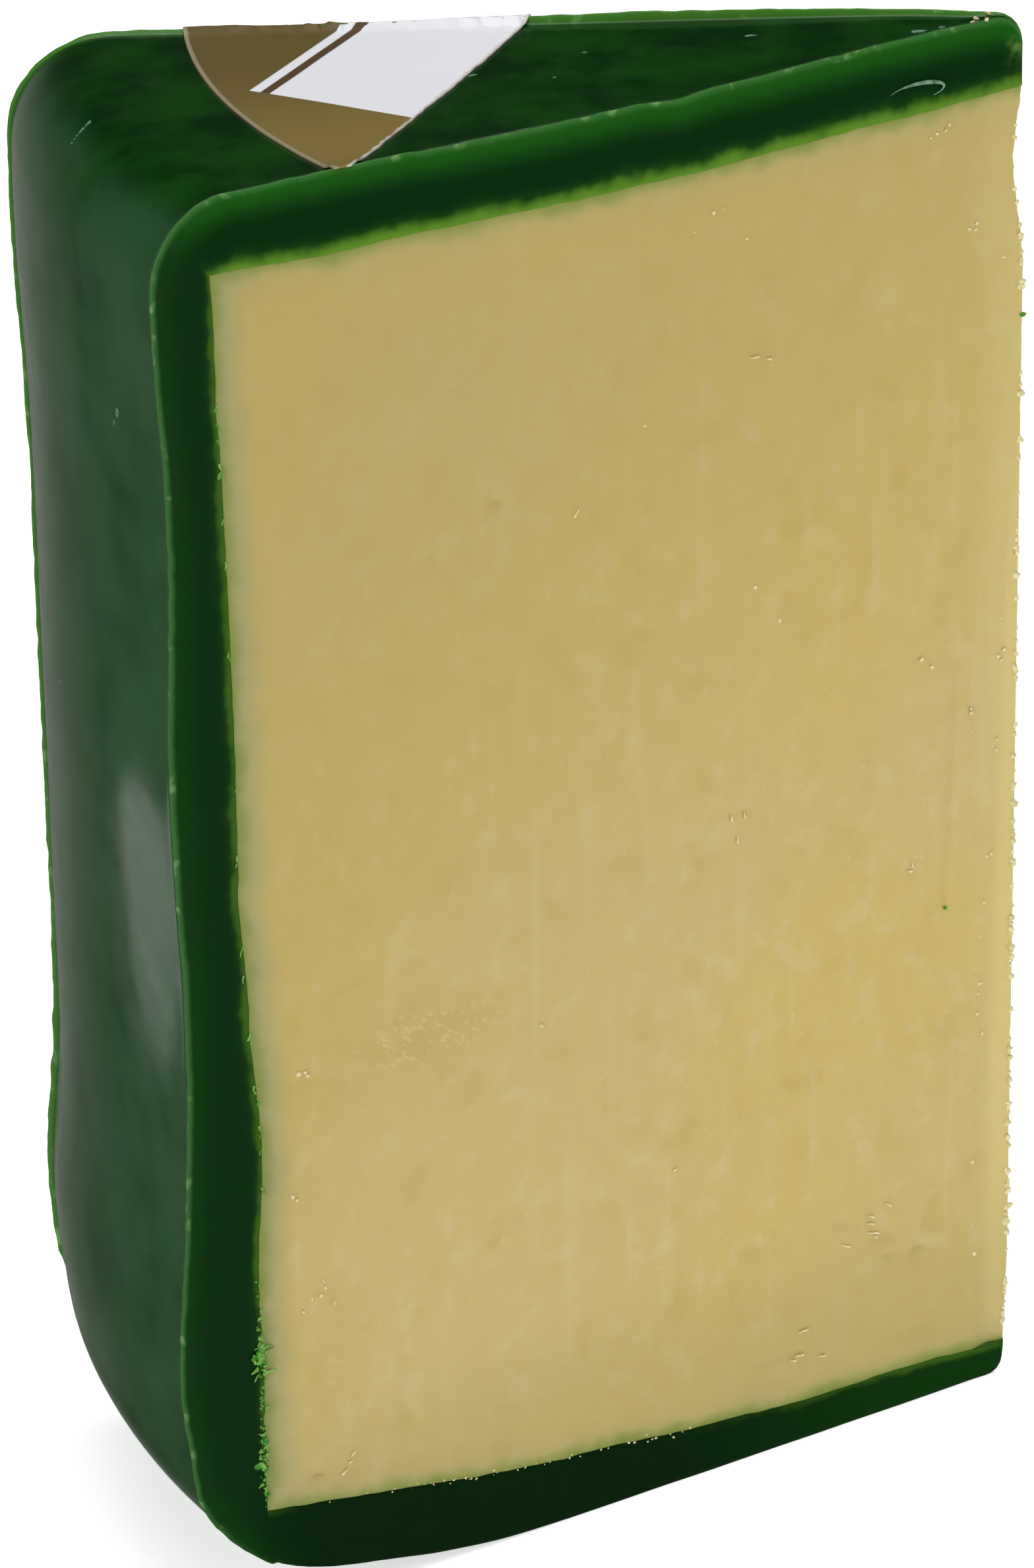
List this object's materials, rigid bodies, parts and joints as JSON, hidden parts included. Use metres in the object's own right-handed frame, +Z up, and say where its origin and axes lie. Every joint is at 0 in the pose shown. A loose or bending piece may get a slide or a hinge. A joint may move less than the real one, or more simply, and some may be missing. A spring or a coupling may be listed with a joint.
{
  "type": "waxed cheese wedge",
  "caption": "Tall wedge of pale yellow cheese in a thick green wax coat, bare on both cut faces, with part of a plain round paper label on its top.",
  "frame": {"origin": "centre of the bounding box at the base, on the surface that the wedge stands on", "axes": "+Z up, +X from the waxed rim to the tip, along the line that halves the wedge's angle, +Y towards the far cut face"},
  "size_m": [0.0749, 0.039, 0.1155],
  "materials": {
    "cheese": "cut face of a firm pale yellow cheese, soft sheen, faint mottling and knife lines",
    "wax": "thick dark green cheese wax, slightly translucent, satin on the rim and glossier on the cut",
    "label": "coated paper label, gold field with a plain white panel and stripe, no print"
  },
  "bodies": {
    "root": {"cheese": "cheese", "wax_coat": "wax", "top_label": "label"}
  },
  "joints": []
}
